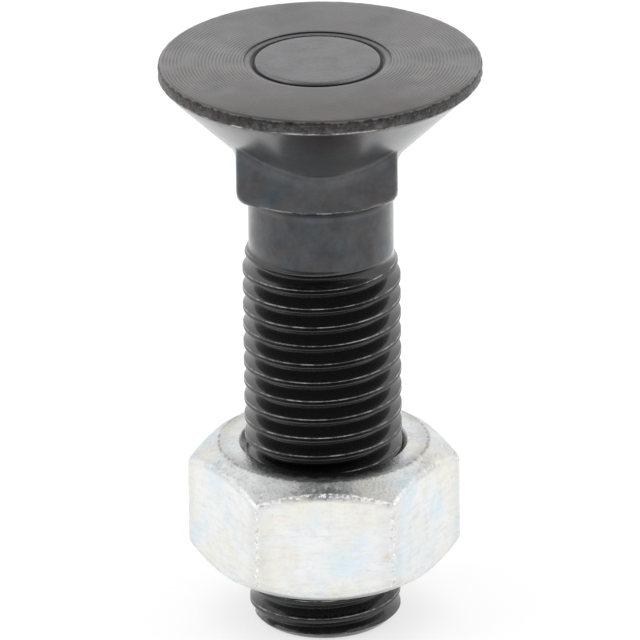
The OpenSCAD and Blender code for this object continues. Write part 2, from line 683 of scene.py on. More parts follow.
@dataclass(frozen=True)
class BlackOxide:
    """Forged steel under a thin oiled black oxide, on the cone, the neck and the shank. Sizes in metres."""

    effects: Effects
    # Height of the torn lower edge of the neck's flats at a radius, and its slope outwards
    edge_z: float
    edge_r: float
    edge_slope: float
    # Height of the countersink's cone on the axis, and its slope
    cone_z: float
    cone_slope: float
    name: str = "black_oxide"
    film: float = 0.38
    film_roughness: float = 0.15
    steel: Colour = (0.046, 0.049, 0.056)
    blue: Colour = (0.034, 0.056, 0.066)
    brown: Colour = (0.06, 0.05, 0.048)
    bare: Colour = (0.3, 0.29, 0.275)
    stain_and_shade: Colour = (0.085, 0.05, 0.04)
    # Colour of the painted shade in the undercut below the neck's edge
    oil_and_shade: Colour = (0.012, 0.012, 0.013)
    # Colour of the paler bands of painted reflection
    pale: Colour = (0.082, 0.092, 0.102)
    # Half the width of the worn line on that edge, and how far out it fades and ends
    edge_half: float = 0.00013
    edge_end: float = 0.0099
    edge_fade: float = 0.0006
    # Painted shade that darkens the undercut below the edge
    gap_drop: float = 0.00028
    gap_half: float = 0.00032
    gap_strength: float = 0.6
    # Paler band of painted reflection on the ledge under that painted shade
    ledge_drop: float = 0.00085
    ledge_half: float = 0.0003
    stain_place: Spot = (0.0015, -0.0148, 0.0572)
    stain_reach: float = 0.0034

    def edge_lines(self, kit: Metal, radius: Socket, height: Socket) -> list[Socket]:
        """Find the lines along the lower edge of the flats.

        Args:
            kit: Material to work on.
            radius: Distance from the axis.
            height: Height over the end face.

        Returns:
            Masks of the broken bright line, the painted shade in the undercut and the painted reflection on
            the ledge below it.
        """
        slope = kit.mul(kit.sub(radius, self.edge_r), self.edge_slope)
        rise = kit.sub(kit.sub(height, slope), self.edge_z)
        broken = kit.band(kit.cloud(600.0, 4.0, 0.7), 0.36, 0.62)
        middle = kit.fall(radius, self.edge_end - self.edge_fade, self.edge_end)
        masks = [kit.mul(kit.mul(kit.line(kit.gap(rise, 0.0), self.edge_half), middle), broken)]
        inside = kit.fall(radius, self.edge_r - 0.0001, self.edge_r + 0.0002)
        for drop, half in ((self.gap_drop, self.gap_half), (self.ledge_drop, self.ledge_half)):
            masks.append(kit.mul(kit.line(kit.gap(rise, -drop), half, 0.3), inside))
        return masks

    def under_cone(self, kit: Metal, radius: Socket, height: Socket) -> Socket:
        """Mask of a stretch of the flats right under the countersink, which takes a paler band of painted
        reflection.
        """
        depth = kit.sub(kit.scaled(radius, self.cone_slope, self.cone_z), height)
        return kit.mul(kit.band(depth, 0.0003, 0.0006), kit.fall(depth, 0.0009, 0.0016))

    def build(self) -> bpy.types.Material:
        """Build the material.

        Returns:
            The material.
        """
        kit = Metal(self.effects, self.name, 0.36, 0.9, self.film_roughness)
        radius, _, height = kit.around()
        fine = kit.cloud(1500.0, 5.0, 0.6)
        patch = kit.cloud(480.0, 3.0, 0.6)
        shade = kit.add(kit.mul(fine, 0.9), kit.scaled(patch, 0.7, 0.2))
        body = kit.shaded(kit.tinted(330.0, 0.7, self.steel, self.blue, self.brown), shade)
        spot = kit.spot(self.stain_place, self.stain_reach * 0.3, self.stain_reach)
        body = kit.mix(kit.mul(spot, kit.band(patch, 0.35, 0.6)), body, self.stain_and_shade)
        bright, gap, ledge = self.edge_lines(kit, radius, height)
        # Painted reflection: paler bluish bands on the ledge under the neck's edge and on the flats right
        # under the countersink
        pale = kit.mul(kit.most(ledge, self.under_cone(kit, radius, height)), 0.55)
        body = kit.mix(kit.mul(pale, kit.band(patch, 0.25, 0.6)), body, self.pale)
        # Painted shade: the undercut below the neck's edge is darkened and loses its film
        undercut_shade = kit.mul(gap, self.gap_strength)
        body = kit.mix(undercut_shade, body, self.oil_and_shade)
        film = kit.add(patch, self.film, clamp=True)
        kit.fill(kit.shader, Base_Color=kit.mix(bright, body, self.bare),
                 Coat_Weight=kit.mul(film, kit.rest(undercut_shade)), Roughness=kit.scaled(fine, 0.2, 0.28))
        kit.bump(fine, 0.00006, 0.5)
        return kit.material


@dataclass(frozen=True)
class TurnedFace:
    """Satin face of the head with the fine rings of the turning tool, with painted sheen and painted ring
    lines at its left and right sides, and painted shade towards its front.
    """

    effects: Effects
    steel: Colour = (0.225, 0.22, 0.222)
    dark: Colour = (0.16, 0.157, 0.158)
    warm: Colour = (0.21, 0.196, 0.19)
    # Share of the light that the front gives back under its painted shade, and where in metres that shade
    # starts and is full
    stain_and_shade: Colour = (0.73, 0.685, 0.67)
    shade_start: float = -0.001
    shade_full: float = -0.011
    ring_spacing: float = 0.000352

    def build(self) -> bpy.types.Material:
        """Build the material.

        Returns:
            The material.
        """
        kit = Metal(self.effects, "turned_face", 0.28)
        radius, angle, _ = kit.around()
        wander = kit.mul(kit.cloud(250.0, 2.0), self.ring_spacing * 0.35)
        turns = kit.mul(kit.add(radius, wander), FULL_TURN / self.ring_spacing)
        ring = kit.scaled(kit.math("SINE", turns), 0.5, 0.5)
        # Painted sheen: the ring lines are painted strongest at the left and right sides and fade towards the
        # front and the back
        across = kit.math("COSINE", angle)
        side_sheen = kit.mul(across, across)
        patchy = kit.mul(kit.band(kit.cloud(420.0), 0.3, 0.6), side_sheen)
        lines = kit.mul(ring, kit.scaled(patchy, 0.42, 0.06))
        shade = kit.sub(kit.scaled(kit.cloud(3200.0), 0.3, 0.77), lines)
        # Painted sheen: the left and right sides of the face are lighter
        shade = kit.add(shade, kit.mul(side_sheen, 0.28))
        metal = kit.shaded(kit.tinted(190.0, 0.7, self.steel, self.dark, self.warm), shade)
        depth = kit.add(kit.parts(kit.place)[1], kit.mul(kit.cloud(160.0, 2.0), 0.004))
        # Painted shade: the face is darker towards the front
        front = kit.fall(depth, self.shade_full, self.shade_start)
        kit.fill(kit.shader, Base_Color=kit.mix(front, metal, kit.shaded(metal, self.stain_and_shade)))
        kit.bump(kit.mul(ring, kit.scaled(side_sheen, 0.8, 0.2)), 0.00002, 0.8)
        return kit.material


@dataclass(frozen=True)
class PressedDisc:
    """Dull pressed surface of the disc, with old oil in the groove round it and lines of painted shade along
    the groove, darkest at the back. Sizes in metres.
    """

    effects: Effects
    top: float
    # The disc lies a little off the bolt's axis
    centre: Spot
    steel: Colour = (0.225, 0.223, 0.23)
    dark: Colour = (0.17, 0.168, 0.172)
    oil_and_shade: Colour = (0.022, 0.022, 0.024)
    # Depths between which the groove turns black, and the lines of painted shade inside and outside it
    deep_start: float = 0.0002
    deep_full: float = 0.0003
    inner_r: float = 0.00673
    line_r: float = 0.0073
    line_half: float = 0.00014

    def build(self) -> bpy.types.Material:
        """Build the material.

        Returns:
            The material.
        """
        kit = Metal(self.effects, "pressed_disc", 0.3)
        fine = kit.cloud(3200.0, 4.0)
        colour = kit.tinted(420.0, 0.4, self.steel, self.dark, self.dark)
        metal = kit.shaded(colour, kit.scaled(fine, 0.4, 0.8))
        radius, angle, height = kit.around(Place=kit.vector("SUBTRACT", kit.place, self.centre).outputs[0])
        radius = kit.add(radius, kit.mul(kit.sub(fine, 0.5), 0.0001))
        soiled_and_shaded = kit.band(kit.sub(self.top, height), self.deep_start, self.deep_full)
        # Painted shade: the two lines are darkest at the back of the disc, and the outer one is a little dark
        # all round
        back = kit.band(kit.math("SINE", angle), -0.2, 0.6)
        for line_r, least in ((self.inner_r, 0.0), (self.line_r, 0.3)):
            line = kit.line(kit.gap(radius, line_r), self.line_half)
            soiled_and_shaded = kit.most(soiled_and_shaded, kit.mul(line, kit.scaled(back, 0.9 - least, least)))
        kit.fill(kit.shader, Base_Color=kit.mix(soiled_and_shaded, metal, self.oil_and_shade))
        kit.bump(kit.cloud(1500.0, 4.0), 0.00006, 0.4)
        return kit.material


@dataclass(frozen=True)
class ForgedRim:
    """Scaly edge of the head, as the forging die left it, ragged under the turned face. Sizes in metres."""

    effects: Effects
    top: float
    foot: float
    scale: Colour = (0.042, 0.039, 0.037)
    rust: Colour = (0.066, 0.046, 0.038)
    grey: Colour = (0.07, 0.07, 0.073)
    worn: Colour = (0.14, 0.138, 0.138)
    bare: Colour = (0.26, 0.255, 0.25)
    turned: Colour = (0.2, 0.193, 0.19)
    # Colour of the painted highlight along the rim's foot
    shine: Colour = (0.55, 0.54, 0.52)
    roughness: float = 0.5
    # How far the turned face wears down over the rim, and half the width of the painted highlight along its
    # foot
    turned_drop: float = 0.00015
    line_half: float = 0.00014

    def build(self) -> bpy.types.Material:
        """Build the material.

        Returns:
            The material.
        """
        kit = Metal(self.effects, "forged_rim", self.roughness, 0.5, 0.3)
        _, _, height = kit.around()
        blotch = kit.cloud(1700.0, 5.0, 0.7)
        ragged = kit.mul(kit.sub(kit.cloud(1100.0, 4.0, 0.65), 0.5), 0.0008)
        # The lower half is worn cleaner than the upper half
        drop = kit.sub(self.top, kit.add(height, ragged))
        clean = kit.mul(kit.band(drop, 0.0005, self.top - self.foot), 0.65)
        body = kit.mix(clean, kit.tinted(700.0, 0.9, self.scale, self.rust, self.grey), self.worn)
        body = kit.shaded(body, kit.scaled(kit.band(blotch, 0.3, 0.7), 1.1, 0.4))
        mask = kit.mul(kit.specks(2600.0, 0.58, 0.14), 0.6)
        body = kit.mix(mask, body, self.bare)
        turned = kit.fall(drop, self.turned_drop - 0.00008, self.turned_drop + 0.00004)
        body = kit.mix(turned, body, self.turned)
        # Painted highlight: a broken bright line along the rim's foot
        line = kit.line(kit.gap(height, self.foot), self.line_half, 0.5)
        line = kit.mul(line, kit.band(kit.cloud(330.0, 5.0, 0.7), 0.44, 0.62))
        kit.fill(kit.shader, Base_Color=kit.mix(line, body, self.shine),
                 Roughness=kit.sub(self.roughness, kit.mul(kit.most(mask, line), 0.2)))
        kit.bump(blotch, 0.0003, 0.7)
        return kit.material


@dataclass(frozen=True)
class RolledThread:
    """Black rolled thread, whose crests have a seam and a worn upper lip. Sizes in metres."""

    effects: Effects
    form: ThreadForm
    steel: Colour = (0.034, 0.034, 0.036)
    crest: Colour = (0.4, 0.39, 0.37)
    # Height of the lip over the middle of the crest, half its width, and the radius from which it is worn
    lip_z: float = 0.0002
    lip_half: float = 0.0001
    lip_radius: float = 0.0075
    # Height up to which the end chamfer is worn
    tip_z: float = 0.0014

    def build(self) -> bpy.types.Material:
        """Build the material.

        Returns:
            The material.
        """
        kit = Metal(self.effects, "rolled_thread", 0.3, 1.0, 0.09)
        radius, angle, height = kit.around()
        pitch = self.form.pitch * MM
        rise = kit.math("DIVIDE", kit.sub(height, self.form.crest_z * MM), pitch)
        turn = kit.math("DIVIDE", angle, FULL_TURN)
        # Share of a pitch by which a place lies over the middle of the nearest crest
        share = kit.sub(kit.math("FRACT", kit.add(kit.sub(rise, turn), 0.5)), 0.5)
        lip = kit.line(kit.gap(share, self.lip_z / pitch), self.lip_half / pitch)
        high = kit.band(radius, self.lip_radius, self.lip_radius + 0.00005)
        worn = kit.most(kit.mul(lip, high), kit.mul(kit.line(height, self.tip_z), 0.3))
        worn = kit.mul(worn, kit.band(kit.cloud(700.0, 4.0, 0.7), 0.38, 0.72))
        fine = kit.cloud(3800.0)
        base = kit.shaded(self.steel, kit.scaled(fine, 0.5, 0.75))
        kit.fill(kit.shader, Base_Color=kit.mix(worn, base, self.crest),
                 Roughness=kit.scaled(fine, 0.14, 0.22))
        kit.bump(kit.cloud(2600.0), 0.00003, 0.3)
        return kit.material


@dataclass(frozen=True)
class ZincPlate:
    """Pale zinc plate with a faint bloom, grainy and soiled on its chamfers and edges, with painted
    highlights on its edges, painted shade beside its upright edges and in its bore, and a painted dark
    reflection on its upper chamfer. Sizes in metres.
    """

    effects: Effects
    foot: float
    top: float
    half: float
    face_r: float
    slope: float
    bore_r: float
    zinc: Colour = (0.85, 0.86, 0.86)
    cool: Colour = (0.71, 0.82, 0.89)
    warm: Colour = (0.84, 0.82, 0.74)
    grey: Colour = (0.66, 0.67, 0.665)
    # Colour of the painted highlights on the edges
    white: Colour = (0.95, 0.95, 0.945)
    # Colour of the painted dark reflection on the upper chamfer
    dark_reflection: Colour = (0.16, 0.165, 0.17)
    # Colour of grit, and of the painted shade in the bore and the painted dark reflection on the upper
    # chamfer
    grit_and_shade: Colour = (0.16, 0.155, 0.14)
    rust: Colour = (0.62, 0.38, 0.15)
    rust_place: Spot = (0.0062, -0.01185, 0.0112)
    # Distances from a chamfer's cone between which its finish fades
    brim: tuple[float, float] = (0.0002, 0.0009)

    def hexagon(self, kit: Metal) -> tuple[Socket, Socket]:
        """Distance from the axis square to the nearest flat, and distance to the nearest upright edge.

        Args:
            kit: Material to work on.

        Returns:
            The two distances.
        """
        reach = []
        for turn in (90.0, 30.0, -30.0):
            square = (math.cos(math.radians(turn)), math.sin(math.radians(turn)), 0.0)
            reach.append(kit.math("ABSOLUTE", kit.vector("DOT_PRODUCT", kit.place, square).outputs["Value"]))
        first, second, third = reach
        larger = kit.most(first, second)
        out = kit.most(larger, third)
        return out, kit.sub(out, kit.most(kit.least(first, second), kit.least(larger, third)))

    def brink_highlight(self, kit: Metal, upper: Socket, out: Socket, front: Socket) -> tuple[Socket, Socket]:
        """Find the painted highlight on the brink of the flats under the upper chamfer, strongest over the
        front flat.

        Args:
            kit: Material to work on.
            upper: Distance from the upper chamfer's cone.
            out: Distance from the axis square to the nearest flat.
            front: Share of the front flat.

        Returns:
            Mask of the painted highlight on the brink, and the spots that break it up.
        """
        spots = kit.cloud(2300.0, 4.0, 0.65)
        brink = kit.mul(kit.fall(upper, 0.00012, 0.0004),
                        kit.band(out, self.half - 0.00028, self.half - 0.00012))
        dots = kit.mul(kit.band(spots, 0.43, 0.56), kit.scaled(front, 0.5, 0.2))
        return kit.mul(brink, kit.add(dots, kit.scaled(front, 0.1, 0.15))), spots

    def build(self) -> bpy.types.Material:
        """Build the material.

        Returns:
            The material.
        """
        kit = Metal(self.effects, "zinc_plate", 0.25)
        radius, _, height = kit.around()
        # Distances from the cones of the two chamfers
        slant = kit.mul(kit.sub(radius, self.face_r), self.slope)
        upper = kit.gap(kit.sub(self.top, height), slant)
        lower = kit.gap(kit.sub(height, self.foot), slant)
        grain = kit.cloud(3600.0, 4.0, 0.65)
        coarse = kit.cloud(900.0, 4.0, 0.6)
        stretched = kit.node("ShaderNodeMapping", Vector=kit.place, Scale=(1.0, 1.0, 5.0)).outputs[0]
        streak = kit.noise(stretched, 420.0, 4.0, 0.65)
        ragged = kit.mul(kit.sub(coarse, 0.5), 0.0008)
        brim = kit.fall(kit.add(kit.least(upper, lower), ragged), *self.brim)
        face = kit.band(height, self.top - 0.00015, self.top - 0.00005)
        rough = kit.most(brim, kit.mul(face, 0.8))
        out, upright = self.hexagon(kit)
        from_edge = kit.add(upright, kit.mul(ragged, 0.5))
        edge = kit.fall(from_edge, 0.0001, 0.00045)
        beside = kit.fall(from_edge, 0.0004, 0.0019)
        ring = kit.fall(kit.add(kit.gap(radius, self.face_r), kit.mul(ragged, 0.3)), 0.00003, 0.00026)
        ring = kit.mul(ring, kit.band(kit.cloud(2200.0, 3.0, 0.7), 0.36, 0.6))
        mottle_and_edge_shade = kit.mul(kit.band(coarse, 0.42, 0.75), 0.34)
        mottle_and_edge_shade = kit.add(mottle_and_edge_shade, kit.mul(kit.band(streak, 0.45, 0.75), 0.4))
        # Painted shade: grey beside the upright edges
        mottle_and_edge_shade = kit.add(mottle_and_edge_shade, kit.mul(beside, 0.3), clamp=True)
        bloom_and_light = kit.mix(mottle_and_edge_shade, kit.tinted(260.0, 0.9, self.zinc, self.cool, self.warm), self.grey)
        # Painted dark reflection: the upper chamfer is darkest over the front flat
        front = kit.band(kit.mul(kit.parts(kit.place)[1], -1.0), 0.0085, 0.0115)
        middle = kit.mul(kit.fall(kit.add(upper, ragged), *self.brim), kit.band(from_edge, 0.001, 0.007))
        middle = kit.mul(middle, kit.scaled(front, 0.7, 0.3))
        bloom_and_light = kit.mix(kit.mul(middle, kit.band(coarse, 0.3, 0.6)), bloom_and_light, self.dark_reflection)
        # Painted highlight: the brink and the upright edges of the flats are a matt white, broken into dots
        brink, spots = self.brink_highlight(kit, upper, out, front)
        edge_highlight = kit.most(brink, kit.mul(edge, kit.band(spots, 0.53, 0.62)))
        bloom_and_light = kit.mix(edge_highlight, bloom_and_light, self.white)
        # Dark grit specks, which over the front of the upper chamfer carry the painted dark reflection
        grit_and_shade_share = kit.add(kit.scaled(rough, 0.1, 0.05), kit.mul(middle, 0.85))
        grit_and_shade_share = kit.mul(kit.specks(3000.0, 0.53, 0.12), kit.most(grit_and_shade_share, kit.mul(edge, 0.4)))
        grit_and_shade_share = kit.most(grit_and_shade_share, kit.mul(ring, 0.6))
        # Painted shade: the bore and the inner part of its mouth are darkened
        bore = kit.fall(radius, self.bore_r - 0.0003, self.bore_r)
        grit_and_shade_share = kit.most(grit_and_shade_share, kit.mul(bore, 0.7))
        soiled_and_shaded = kit.mix(grit_and_shade_share, bloom_and_light, self.grit_and_shade)
        rusty = kit.mul(kit.spot(self.rust_place, 0.0001, 0.0007), kit.band(kit.cloud(2600.0), 0.4, 0.6))
        kit.fill(kit.shader, Base_Color=kit.mix(kit.mul(rusty, 0.55), soiled_and_shaded, self.rust),
                 Metallic=kit.rest(kit.mul(brink, 0.85)),
                 Roughness=kit.add(kit.mul(grain, 0.16), kit.scaled(brim, 0.2, 0.14)))
        kit.bump(kit.mul(grain, kit.scaled(rough, 0.7, 0.3)), 0.00006, 0.8)
        return kit.material


@dataclass
class PlowBolt:
    """The forged bolt: head, square neck, shank and thread in one closed skin. Sizes in millimetres."""

    effects: Effects
    form: ThreadForm
    sides: int = 360
    rim_h: float = 1.3
    edge_r: float = 0.42
    # The rim is swollen a little by the forging blow, and the head and its disc sit a little off the axis
    rim_swell: float = 0.1
    head_shift: float = 0.1
    disc_shift: tuple[float, float] = (-0.15, 0.4)
    # The countersink starts a little inside the rim
    cone_inset: float = 0.25
    cone_slope: float = 0.99
    cone_tilt: float = math.radians(45.0)
    hub_r: float = 0.8
    disc_r: float = 6.1
    disc_drop: float = 0.02
    groove_r: float = 6.4
    groove_depth: float = 0.4
    groove_edge_r: float = 7.35
    neck_half: float = 8.0
    # The forging die sat a little off the axis
    neck_shift: float = -0.35
    corner_r: float = 1.0
    # The fillet under the countersink narrows towards the corners of the neck
    fillet_r: float = 2.4
    corner_fillet_r: float = 0.8
    neck_depth: float = 13.2
    shoulder_slope: float = math.tan(math.radians(19.5))
    # Rounding of the neck's lower edge on the flats and at the corners, and the burr on it
    edge_round: float = 0.12
    corner_round: float = 1.4
    burr: float = 0.06
    shank_fillet_r: float = 0.7
    shank_r: float = 7.25
    thread_r: float = 7.9
    root_r: float = 6.75
    # Height of each lip of the crest over or under its middle
    lip_z: float = 0.2
    # Where a flank ends in the root, from the middle of the crest
    flank_z: float = 0.9
    thread_len: float = 40.85
    # Distance between the thread's last ring and the shank's
    seam: float = 0.15
    runout: float = 2.3
    # How much lower the run-out lies towards +X, and how much higher towards -X
    runout_lean: float = 0.9
    runout_rise: float = 0.15
    # Share of their height that the first turns at the end lack
    lead_loss: float = 0.25
    tip_r: float = 6.62
    tip_round: float = 0.12

    def __post_init__(self) -> None:
        """Take the overall sizes from the CAD node and work out what follows from them."""
        low, high = node_box_mm("bolt")
        self.length = high.z
        self.head_r = (high.x - low.x) / 2.0 + self.rim_swell
        self.rim_z = self.length - self.rim_h
        self.neck_z = self.length - self.neck_depth
        self.reach = (self.neck_half - self.corner_r) * math.sqrt(2.0) + self.corner_r

    def neck_radius(self, angle: float) -> float:
        """Distance from the axis to the neck's outline.

        Args:
            angle: Angle round the axis in radians.

        Returns:
            Radius of the rounded square along that ray.
        """
        ray = Vector((math.cos(angle), math.sin(angle)))
        near, far = self.neck_half * 0.8, self.reach * 1.1
        for _ in range(26):
            middle = (near + far) / 2.0
            x = abs(ray.x * middle - self.neck_shift) - (self.neck_half - self.corner_r)
            y = abs(ray.y * middle) - (self.neck_half - self.corner_r)
            outside = math.hypot(max(x, 0.0), max(y, 0.0)) + min(max(x, y), 0.0) > self.corner_r
            near, far = (near, middle) if outside else (middle, far)
        return near

    def cone_z(self, radius: float) -> float:
        """Height of the countersink at a radius."""
        return self.rim_z - (self.head_r - radius) * self.cone_slope

    def shoulder_z(self, radius: float, angle: float) -> float:
        """Height of the sloping shoulder under the neck at a radius and an angle."""
        off_neck = math.hypot(radius * math.cos(angle) - self.neck_shift, radius * math.sin(angle))
        return self.neck_z + (off_neck - self.neck_half) * self.shoulder_slope

    def edge_share(self, wall: float) -> float:
        """How far a place on the neck's outline is from a corner, from 0 there to 1 on the flats."""
        return 1.0 - smooth_step(wall, self.neck_half + 0.5, self.reach - 0.5)

    def fillet_size(self, wall: float) -> tuple[float, float]:
        """Radius of the fillet under the countersink, and the length over which it touches cone and flat."""
        radius = self.corner_fillet_r + (self.fillet_r - self.corner_fillet_r) * self.edge_share(wall)
        return radius, radius * math.tan(self.cone_tilt / 2.0)

    def disc_and_face(self) -> list[Outline]:
        """Rings over the disc, the pressed groove round it and the turned face, from the middle outwards.

        Returns:
            Outlines of the rings.
        """
        disc, drop = self.disc_r, self.disc_drop
        groove, brink, depth = self.groove_r, self.groove_edge_r, self.groove_depth
        profile = [(2.0, drop), (3.5, drop), (5.0, drop), (disc - 0.2, drop), (disc, 0.035),
                   (disc + 0.08, 0.08), (disc + 0.13, 0.15), (groove - 0.07, depth - 0.05), (groove, depth),
                   (groove + 0.08, depth - 0.04), (groove + 0.3, 0.26), (groove + 0.6, 0.17),
                   (brink - 0.14, 0.13), (brink - 0.06, 0.12), (brink, 0.02), (brink + 0.1, 0.0)]
        found = [level_ring(radius, self.length - down, *self.disc_shift) for radius, down in profile]
        steps = 9
        inner, outer = brink + 0.4, self.head_r - self.edge_r - 0.12
        for step in range(steps + 1):
            share = step / steps
            x = self.disc_shift[0] * (1.0 - share) + self.head_shift * share
            y = self.disc_shift[1] * (1.0 - share)
            found.append(level_ring(inner + (outer - inner) * share, self.length, x, y))
        return found

    def rim_point(self, inset: float, drop: float, jag: float, angle: float) -> Point:
        """Point on the scaly rim.

        Args:
            inset: How far it lies inside the rim.
            drop: How far it lies below the top.
            jag: Depth of the roughness.
            angle: Angle round the axis in radians.

        Returns:
            Radius and height.
        """
        wear = ripple(angle, drop, 60.0, 3.0) + 0.6 * ripple(angle, drop, 170.0, 9.0)
        nick = ripple(angle, 3.0 * drop, 90.0, 21.0)
        radius = self.head_r + self.head_shift * math.cos(angle) - inset
        return radius + min(jag * wear, 0.02), self.length - drop + 0.4 * jag * nick

    def rim(self) -> list[Outline]:
        """Rings over the scaly rim, from its upper edge to its worn lower edge.

        Returns:
            Outlines of the rings.
        """
        edge, depth = self.edge_r, self.rim_h
        bends = [math.radians(bend) for bend in (15.0, 35.0, 55.0, 75.0, 90.0)]
        places = [(edge * (1.0 - math.sin(bend)), edge * (1.0 - math.cos(bend)), 0.05) for bend in bends]
        places += [(0.02 + 0.03 * (i % 2), edge + (depth - 0.12 - edge) * i / 5.0, 0.09) for i in range(1, 6)]
        places += [(0.0, depth - 0.06, 0.07), (0.05, depth + 0.03, 0.06), (0.2, depth + 0.2, 0.01)]
        return [partial(self.rim_point, *place) for place in places]

    def cone(self, share: float, angle: float) -> Point:
        """Point on the countersink.

        Args:
            share: Way from the rim, 0, to the fillet, 1.
            angle: Angle round the axis in radians.

        Returns:
            Radius and height.
        """
        start = self.head_r + self.head_shift * math.cos(angle) - self.cone_inset
        wall = self.neck_radius(angle)
        stop = wall + self.fillet_size(wall)[1] * math.cos(self.cone_tilt)
        radius = start + (stop - start) * share
        return radius, self.cone_z(radius)

    def fillet(self, share: float, angle: float) -> Point:
        """Point on the fillet between the countersink and a flat.

        Args:
            share: Way from the countersink, 0, to the flat, 1.
            angle: Angle round the axis in radians.

        Returns:
            Radius and height.
        """
        wall = self.neck_radius(angle)
        size, tangent = self.fillet_size(wall)
        turn = self.cone_tilt * (1.0 - share)
        return wall + size * (1.0 - math.cos(turn)), self.cone_z(wall) - tangent + size * math.sin(turn)

    def flat(self, share: float, angle: float) -> Point:
        """Point on the neck's flats.

        Args:
            share: Way from the fillet, 0, to the lower edge, 1.
            angle: Angle round the axis in radians.

        Returns:
            Radius and height.
        """
        wall = self.neck_radius(angle)
        upper = self.cone_z(wall) - self.fillet_size(wall)[1]
        lower = self.edge_bend(0.0, angle)[1]
        return wall, upper + (lower - upper) * share

    def edge_bend(self, turn: float, angle: float) -> Point:
        """Point on the rounded and torn lower edge of the neck.

        Args:
            turn: Place on the rounding, from 0 on the flat to 1 on the shoulder.
            angle: Angle round the axis in radians.

        Returns:
            Radius and height.
        """
        wall = self.neck_radius(angle)
        share = self.edge_share(wall)
        span = self.corner_round + (self.edge_round - self.corner_round) * share
        torn = share * (0.1 * ripple(angle, 0.0, 22.0, 31.0) + 0.09 * ripple(angle, 0.0, 80.0, 57.0))
        lean = math.cos(math.atan(self.shoulder_slope))
        inner = wall - span * lean * turn ** 2
        height = self.shoulder_z(wall, angle) + span * (1.0 - turn) ** 2
        height -= span * lean * self.shoulder_slope * turn ** 2
        # The burr stands out over a narrow undercut
        lip = math.exp(-((turn - 0.4) / 0.14) ** 2) - 0.9 * math.exp(-((turn - 0.78) / 0.12) ** 2)
        return inner + self.burr * share * lip * (0.8 + 0.6 * ripple(angle, 0.0, 40.0, 5.0)), height + torn

    def shoulder(self, share: float, angle: float) -> Point:
        """Point on the shoulder.

        Args:
            share: Way from the lower edge of the neck, 0, in to the fillet, 1.
            angle: Angle round the axis in radians.

        Returns:
            Radius and height.
        """
        outer, start = self.edge_bend(1.0, angle)
        inner, stop = self.joint(0.0, angle)
        return outer + (inner - outer) * share, start + (stop - start) * share

    def joint(self, share: float, angle: float) -> Point:
        """Point on the fillet between shoulder and shank.

        Args:
            share: Way from the shoulder, 0, to the shank, 1.
            angle: Angle round the axis in radians.

        Returns:
            Radius and height.
        """
        slope, size = math.atan(self.shoulder_slope), self.shank_fillet_r
        turn = slope + (math.pi / 2.0 - slope) * share
        centre = self.shoulder_z(self.shank_r, angle) + size * (self.shoulder_slope - 1.0 / math.cos(slope))
        return self.shank_r + size * (1.0 - math.sin(turn)), centre + size * math.cos(turn)

    def shank(self, share: float, angle: float) -> Point:
        """Point on the shank, from 0 at the fillet to 1 over the thread."""
        foot = self.joint(1.0, angle)[1]
        return self.shank_r, foot + (self.thread_len + self.seam - foot) * share

    def ridge(self) -> list[Point]:
        """Outline of one ridge of the rolled thread.

        Returns:
            Height from the middle of the crest and radius of each point, over one pitch.
        """
        lip, crest_r, root_r = self.lip_z, self.thread_r, self.root_r
        crest = [(0.0, crest_r - 0.2), (0.07, crest_r - 0.14), (0.13, crest_r - 0.05),
                 (lip - 0.035, crest_r - 0.004), (lip + 0.03, crest_r - 0.004), (lip + 0.06, crest_r - 0.035),
                 (lip + 0.09, crest_r - 0.09)]
        start_z, start_r = crest[-1]
        steps = 4
        flank = [(start_z + (self.flank_z - start_z) * i / steps, start_r + (root_r - start_r) * i / steps)
                 for i in range(1, steps + 1)]
        return both_ways(crest + flank + [(0.96, root_r - 0.06), (self.form.pitch / 2.0, root_r - 0.075)])

    def end_radius(self, place: Vector) -> float:
        """Radius of the thread after its run-out, its lower first turns and its end chamfer.

        Args:
            place: Point on the full thread.

        Returns:
            The new radius.
        """
        full = place.xy.length
        side = place.x / full
        level = place.z + side * abs(side) * (self.runout_lean if side > 0.0 else self.runout_rise)
        fade = smooth_step(level, self.thread_len - self.runout, self.thread_len)
        faded = full * (1.0 - fade) + self.shank_r * fade
        # Nothing stands out past the shank over the last groove
        level_off = smooth_step(level, self.thread_len - 1.0, self.thread_len - 0.45)
        faded -= max(0.0, faded - self.shank_r) * level_off
        faded -= max(0.0, full - self.root_r) * self.lead_loss * (1.0 - smooth_step(place.z, 3.0, 8.0))
        rounding = self.tip_round * (1.0 - smooth_step(place.z, -0.1, 0.3))
        return min(faded, self.tip_r + max(place.z, -0.2) - rounding)

    def region(self, centre: Vector, normal: Vector) -> Region:
        """Finish that a face takes.

        Args:
            centre: Middle of the face in millimetres.
            normal: Direction of the face.

        Returns:
            The region that it belongs to.
        """
        off_disc = math.dist(centre.xy, self.disc_shift)
        if centre.z > self.length - self.groove_depth - 0.1 and off_disc < self.groove_edge_r + 0.05:
            return Region.DISC
        if centre.z > self.length - 0.1 and normal.z > 0.85:
            return Region.FACE
        if centre.z > self.rim_z - 0.16 and math.hypot(centre.x, centre.y) > self.head_r - 0.6:
            return Region.RIM
        if centre.z > self.neck_z and normal.z < -0.4:
            return Region.CONE
        if centre.z < self.thread_len - 0.8:
            return Region.THREAD
        return Region.BODY

